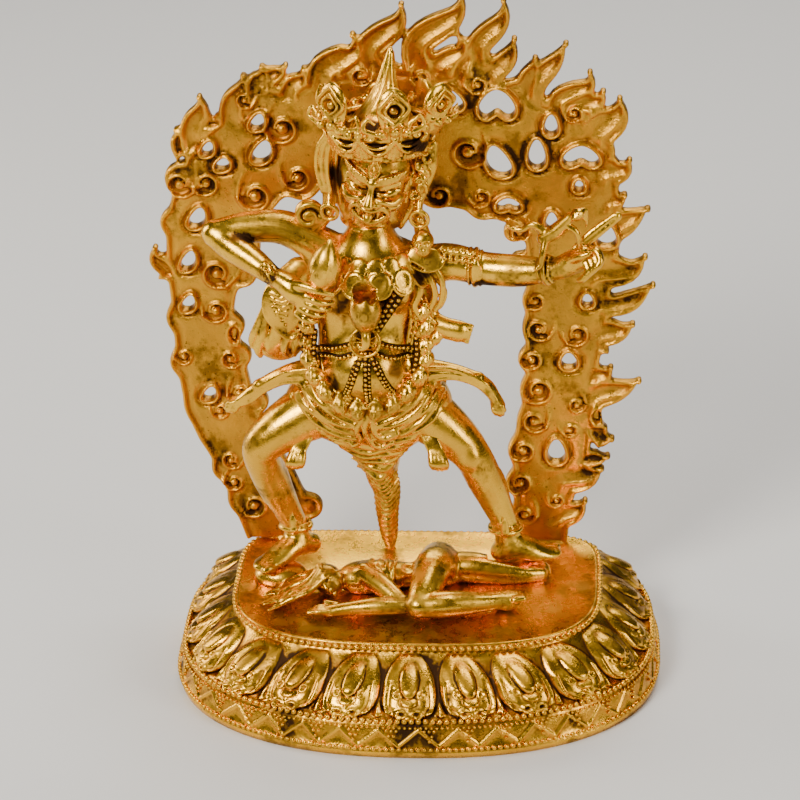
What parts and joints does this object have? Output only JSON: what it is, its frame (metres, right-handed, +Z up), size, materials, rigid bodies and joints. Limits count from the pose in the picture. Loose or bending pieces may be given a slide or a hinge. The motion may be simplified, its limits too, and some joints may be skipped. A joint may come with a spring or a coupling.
{
  "type": "gilt metal deity statue",
  "caption": "Gilt cast statue of a wrathful crowned figure in a wide lunge, treading on a small figure, before a pierced flame aureole on an oval lotus base.",
  "frame": {"origin": "centre of the base's underside, on the surface it stands on", "axes": "+Z up; the figure faces -Y; +X is on the right of someone who looks at its front"},
  "size_m": [0.1559, 0.108, 0.2117],
  "materials": {
    "base_gilt": "polished gilt, warm orange in the recesses, brown tarnish specks",
    "aureole_gilt": "satin gilt with fine grain, orange in the recesses, brown tarnish specks",
    "figure_gilt": "bright polished gilt, darker in the recesses",
    "trampled_gilt": "bright polished gilt, darker in the recesses"
  },
  "bodies": {
    "root": {"lotus_base": "base_gilt", "flame_aureole": "aureole_gilt", "standing_figure": "figure_gilt", "trampled_figure": "trampled_gilt"}
  },
  "joints": []
}
